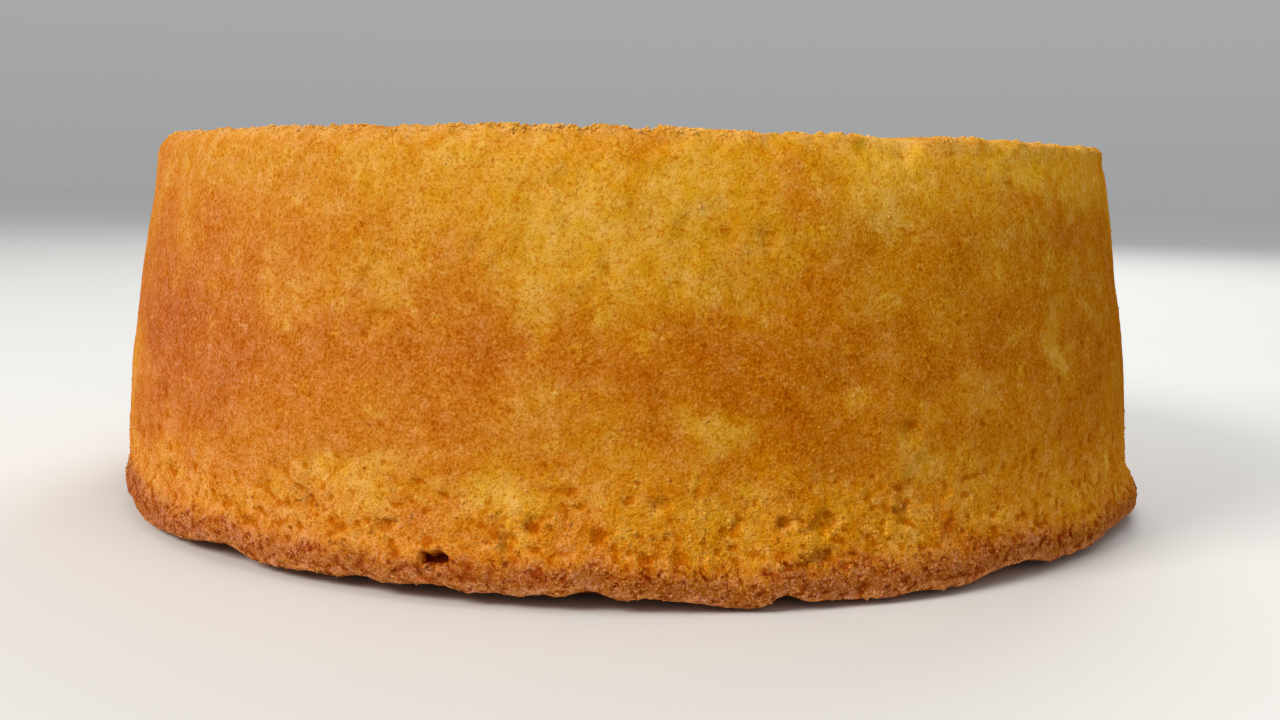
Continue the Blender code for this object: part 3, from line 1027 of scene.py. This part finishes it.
class Graph:
    """Adds nodes to a material, links them and hands back their outputs."""

    def __init__(self, material):
        self.tree = material.node_tree

    def join(self, node, socket, value):
        """Links a value that is another node's output, or sets it on the socket."""
        if isinstance(value, bpy.types.NodeSocket):
            self.tree.links.new(value, node.inputs[socket])
        else:
            node.inputs[socket].default_value = value

    def add(self, kind, inputs, output=0, **settings):
        """Adds a node with its inputs and settings, and returns one of its outputs."""
        node = self.tree.nodes.new(kind)
        for name, value in settings.items():
            setattr(node, name, value)
        for socket, value in inputs.items():
            self.join(node, socket, value)
        return node.outputs[output]

    def tone(self, name):
        """One of the tones stored on the mesh."""
        return self.add("ShaderNodeAttribute", {}, "Fac", attribute_name=name)

    def math(self, operation, first, second):
        """Two values put together by an operation."""
        return self.add("ShaderNodeMath", {0: first, 1: second}, operation=operation)

    def total(self, *parts):
        """Sum of values, each given with its weight."""
        result = 0.0
        for value, weight in parts:
            result = self.add("ShaderNodeMath", {0: value, 1: weight, 2: result}, operation="MULTIPLY_ADD")
        return result

    def noise(self, place, length, detail):
        """Noise about 0, from -0.5 to 0.5."""
        whole = self.add("ShaderNodeTexNoise", {"Vector": place, "Scale": 1.0 / length, "Detail": detail})
        return self.math("SUBTRACT", whole, 0.5)

    def grains(self, place, size):
        """1 at the middle of each grain, 0 between the grains."""
        cells = self.add("ShaderNodeTexVoronoi", {"Vector": place, "Scale": 1.0 / size}, "Distance")
        return self.spread(cells, 0.75, 0.05)

    def spread(self, value, low, high):
        """0 at low and 1 at high, even between and clamped."""
        return self.add("ShaderNodeMapRange", {"Value": value, "From Min": low, "From Max": high})

    def mix(self, share, first, second, mode="MIX"):
        """The first colour, with a share of the second mixed in, or multiplied onto it."""
        inputs = {"Fac": share, "Color1": first, "Color2": second}
        return self.add("ShaderNodeMixRGB", inputs, blend_type=mode)

    def ramp(self, value, stops):
        """The colour between stops, each given with its place from 0 to 1."""
        node = self.tree.nodes.new("ShaderNodeValToRGB")
        self.join(node, "Fac", value)
        elements = node.color_ramp.elements
        while len(elements) < len(stops):
            elements.new(0.5)
        for element, (place, colour) in zip(elements, stops):
            element.position = place
            element.color = colour
        return node.outputs["Color"]


def new_material(name):
    """A new material with its graph and its shader."""
    material = bpy.data.materials.new(name)
    material.use_nodes = True
    return material, Graph(material), material.node_tree.nodes["Principled BSDF"]


def specks_in(g, where):
    """1 in the small specks of painted glint that some cells of a grid hold, 0 between them."""
    cells = g.tree.nodes.new("ShaderNodeTexVoronoi")
    g.join(cells, "Vector", where)
    g.join(cells, "Scale", 1.0 / SPECK_CELL)
    lot = g.add("ShaderNodeSeparateColor", {"Color": cells.outputs["Color"]})
    size = g.math("MULTIPLY", g.spread(lot, SPECK_RARITY, 1.0), SPECK_LARGEST)
    return g.spread(g.math("SUBTRACT", size, cells.outputs["Distance"]), 0.0, SPECK_RIM)


def crust_patterns(g):
    """The noises, grains and pores that the crust's relief and colours share."""
    p = SimpleNamespace()
    where = g.add("ShaderNodeTexCoord", {}, "Object")
    p.fine = g.noise(where, FINE, 4.0)
    p.middle = g.noise(where, MIDDLE, 3.0)
    p.mottle = g.noise(where, MOTTLE, 3.0)
    p.glint = g.noise(where, GLINT, 1.0)
    p.fleck = g.spread(g.total((g.noise(where, FLECK, 4.0), 1.0), (p.fine, 0.3)), 0.08, 0.26)

    # Uneven grains and clumps with a wobbly rim
    wobble = g.add("ShaderNodeTexNoise", {"Vector": where, "Scale": 1.0 / FINE, "Detail": 3.0}, "Color")
    wobbly = g.add("ShaderNodeVectorMath", {0: wobble, 1: (WOBBLE,) * 3, 2: where}, operation="MULTIPLY_ADD")
    p.grain, p.clump = [g.grains(wobbly, size) for size in (GRAIN, CLUMP)]
    p.speck = specks_in(g, wobbly)
    p.crumbly = g.spread(g.total((g.tone("lip"), 1.0), (p.mottle, 1.0)), 0.10, 0.50)
    # Crevices between the lip's clumps, where shade is painted
    p.crevice = g.math("MULTIPLY", g.spread(g.total((p.clump, 1.0), (p.fine, 0.6)), 0.14, 0.0), p.crumbly)

    # Ragged pores, wider than they are tall, and the holes of the mesh
    squashed = g.add("ShaderNodeVectorMath", {0: where, 1: PORE_SQUASH}, operation="MULTIPLY")
    ragged = g.total((g.noise(squashed, PORE, 5.0), 1.0), (g.tone("open"), 0.11), (p.crumbly, 0.03))
    p.pore = g.spread(ragged, 0.25, 0.31)
    p.hole = g.spread(g.total((g.tone("pore"), 1.0), (p.fine, 0.9), (p.glint, 0.4)), 0.28, 0.42)
    return p


def crust_height(g, p):
    """Relief too fine for the mesh, in metres."""
    loose = g.math("MAXIMUM", g.tone("open"), p.crumbly)
    clumps = g.total((p.clump, 0.10 * MM), (p.fine, 0.16 * MM), (p.glint, 0.06 * MM))
    clumps = g.math("MULTIPLY", loose, clumps)
    return g.total((p.grain, 0.04 * MM), (p.fine, 0.10 * MM), (p.glint, 0.06 * MM), (p.middle, 0.06 * MM),
                   (clumps, 1.0), (p.pore, -0.18 * MM))


def baked_colour(g, p):
    """Browning with mottles of several sizes, rosier at the left, paler where the crumb shows through."""
    browning = g.total((g.tone("browning"), 1.0), (p.mottle, 0.32), (p.middle, 0.22), (p.fine, 0.28),
                       (p.fleck, -0.32), (1.0, 0.03))
    colour = g.ramp(browning, CRUST_STOPS)
    colour = g.mix(g.math("MULTIPLY", g.tone("rosy"), 0.18), colour, ROSY_COLOUR)
    pale = g.total((p.mottle, -0.14), (p.middle, -0.26), (p.fine, -0.22),
                   (g.tone("pale"), 0.12), (g.tone("open"), 0.03), (p.fleck, 0.04))
    return g.mix(g.math("MAXIMUM", pale, 0.0), colour, PALE_COLOUR)


def with_lip(g, p, colour):
    """Adds the lip, less on the tops of its clumps, its pale brim, and the underside."""
    lip = g.total((g.tone("lip"), 1.0), (p.middle, 0.2), (p.fine, 0.5), (p.glint, 0.6), (p.clump, -0.12),
                  (1.0, 0.05))
    lip_colour = g.mix(g.tone("rosy"), LIP_COLOUR, ROSY_LIP_COLOUR)
    colour = g.mix(g.math("MULTIPLY", g.spread(lip, 0.0, 1.0), 0.85), colour, lip_colour)
    tips = g.math("MULTIPLY", g.spread(g.total((p.glint, 1.3), (p.fine, 0.3)), 0.0, 0.24), g.tone("lip"))
    colour = g.mix(g.total((g.tone("brim"), 0.9), (tips, 0.38)), colour, LIP_EDGE_COLOUR)
    return g.mix(g.tone("under"), colour, UNDER_COLOUR)


def with_grain(g, p, colour):
    """Adds pale grain tips (partly painted highlight), painted glints, painted crease shade, dry and rich
    patches.
    """
    bulk = g.total((p.grain, 0.5), (p.fine, 2.0))
    colour = g.mix(g.math("MULTIPLY", g.spread(bulk, 0.30, 0.85), 0.22), colour, TIP_HIGHLIGHT_COLOUR)
    colour = g.mix(g.spread(bulk, 0.20, -0.30), colour, CREASE_SHADE_TINT, "MULTIPLY")
    # Painted glints in the specks
    colour = g.mix(g.math("MULTIPLY", p.speck, 0.10), colour, PAINTED_GLINT_COLOUR)
    # Painted highlight on shiny tips and painted shade in creases, finer than the grains
    contrast = g.total((g.tone("browning"), 0.8), (1.0, 0.6))
    shade_and_highlight = g.math("MULTIPLY", contrast, g.total((p.glint, 1.0), (p.fine, 0.4)))
    shade_and_highlight = g.mix(g.spread(shade_and_highlight, -0.26, 0.26), PAINTED_CREASE_SHADE, PAINTED_TIP_HIGHLIGHT)
    dry = g.mix(g.spread(g.total((p.mottle, -0.6), (p.middle, -1.0)), -0.24, 0.24), RICH_SHADE, DRY_SHADE)
    return g.mix(1.0, g.mix(1.0, colour, shade_and_highlight, "MULTIPLY"), dry, "MULTIPLY")


def with_pores(g, p, colour):
    """Paints shade into pores, holes and crevices, and paints the deepest holes darkest."""
    tint = g.mix(p.crumbly, PORE_SHADE_TINT, PIT_SHADE_TINT)
    colour = g.mix(g.math("MAXIMUM", p.pore, p.hole), colour, tint, "MULTIPLY")
    colour = g.mix(p.crevice, colour, CREVICE_SHADE_TINT, "MULTIPLY")
    return g.mix(g.spread(g.tone("pore"), 0.62, 0.86), colour, DEEP_HOLE_SHADE_COLOUR)


def crust_material():
    """Baked sponge: mottled golden crust of fine grains, paler where it is torn, darker at the lip."""
    material, g, shader = new_material("sponge_crust_fine")
    p = crust_patterns(g)
    colour = with_grain(g, p, with_lip(g, p, baked_colour(g, p)))
    # Painted light and shade: the colour is multiplied by one plus the lightening stored on the mesh
    colour = g.mix(1.0, colour, g.total((g.tone("light"), 1.0), (1.0, 1.0)), "MULTIPLY")
    g.join(shader, "Base Color", with_pores(g, p, colour))
    bumps = g.add("ShaderNodeBump", {"Strength": 1.0, "Distance": 1.0, "Height": crust_height(g, p)})
    g.join(shader, "Normal", bumps)
    g.join(shader, "Roughness", g.total((p.speck, -0.2), (p.fine, -0.2), (1.0, CRUST_ROUGHNESS)))
    g.join(shader, "Specular IOR Level", 0.0)
    return material


# Camera, fitted to the photograph: place, tilt down, roll, turn and focal length
CAMERA_AT = Vector((0.65, -297.3, 61.8)) * MM
CAMERA_TILT = 7.17
CAMERA_ROLL = 1.04
CAMERA_TURN = 0.16
FOCAL_PIXELS = 1395.6
PHOTO_WIDTH = 1280
SENSOR_WIDTH = 36.0
NEAREST = 10.0 * MM


def place_camera():
    """The camera at the photograph's place, tilted down and rolled a little."""
    data = bpy.data.cameras.new("camera")
    data.sensor_width = SENSOR_WIDTH
    data.lens = FOCAL_PIXELS / PHOTO_WIDTH * SENSOR_WIDTH
    data.clip_start = NEAREST
    camera = add_object("camera", data)
    camera.rotation_euler = (Matrix.Rotation(math.radians(-CAMERA_TURN), 4, "Z")
                             @ Matrix.Rotation(math.radians(90.0 - CAMERA_TILT), 4, "X")
                             @ Matrix.Rotation(math.radians(CAMERA_ROLL), 4, "Z")).to_euler()
    camera.location = CAMERA_AT
    bpy.context.scene.camera = camera


# Light: the lamps' place, size, power and colour, the surround and the floor
LAMP_AIM = Vector((0.0, 0.0, 0.035))
LAMPS = {
    "key": (Vector((-0.793, -0.62, 0.75)), 0.45, 13.0, (1.0, 0.96, 0.90)),
    "top": (Vector((0.25, -0.25, 1.10)), 0.50, 2.5, (1.0, 0.98, 0.95)),
    "back": (Vector((0.30, 0.90, 0.80)), 0.60, 6.5, (1.0, 0.99, 0.97)),
}
FLOOR_SIZE = 12.0
FLOOR_COLOUR = srgb(210, 210, 208)
FLOOR_ROUGHNESS = 0.7
HORIZON_COLOUR = srgb(190, 191, 192)
SKY_COLOUR = srgb(226, 228, 230)
SKY_STRENGTH = 0.68
SKY_FULL = 0.5


def area_light(name, place, size, power, colour):
    """A soft square lamp at a place, facing the cake."""
    data = bpy.data.lights.new(name, "AREA")
    data.size = size
    data.energy = power
    data.color = colour
    lamp = add_object(name, data)
    lamp.location = place
    lamp.rotation_euler = (LAMP_AIM - place).to_track_quat("-Z", "Y").to_euler()


def pale_floor():
    """A wide plain floor."""
    mesh = bpy.data.meshes.new("floor")
    half = FLOOR_SIZE / 2
    mesh.from_pydata([(-half, -half, 0.0), (half, -half, 0.0), (half, half, 0.0), (-half, half, 0.0)], [],
                     [(0, 1, 2, 3)])
    paint, g, shader = new_material("floor")
    g.join(shader, "Base Color", FLOOR_COLOUR)
    g.join(shader, "Roughness", FLOOR_ROUGHNESS)
    mesh.materials.append(paint)
    floor = add_object("floor", mesh)


def pale_surround():
    """A plain pale surround, a little darker at the horizon, where it meets the floor."""
    world = bpy.data.worlds.new("surround")
    world.use_nodes = True
    g = Graph(world)
    where = g.add("ShaderNodeTexCoord", {}, "Generated")
    up = g.add("ShaderNodeSeparateXYZ", {"Vector": where}, "Z")
    colour = g.mix(g.spread(up, 0.0, SKY_FULL), HORIZON_COLOUR, SKY_COLOUR)
    background = world.node_tree.nodes["Background"]
    g.join(background, "Color", colour)
    g.join(background, "Strength", SKY_STRENGTH)
    bpy.context.scene.world = world


# The cake
body = fine_body()
grain_weight, edge_weight = crumb_weights(body)
grains = scatter_crumbs("crust_grains", body, grain_weight, **GRAINS)
crumbs = scatter_crumbs("edge_crumbs", body, edge_weight, **EDGE_CRUMBS)
crust = crust_material()
for piece in (body, grains, crumbs):
    piece.data.materials.append(crust)
    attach(piece, "root")
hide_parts("sponge_cake")

# The photograph's view of it, and the light
place_camera()
pale_floor()
pale_surround()
for name, (place, size, power, colour) in LAMPS.items():
    area_light(name, place, size, power, colour)
bpy.context.scene.view_settings.view_transform = "Standard"
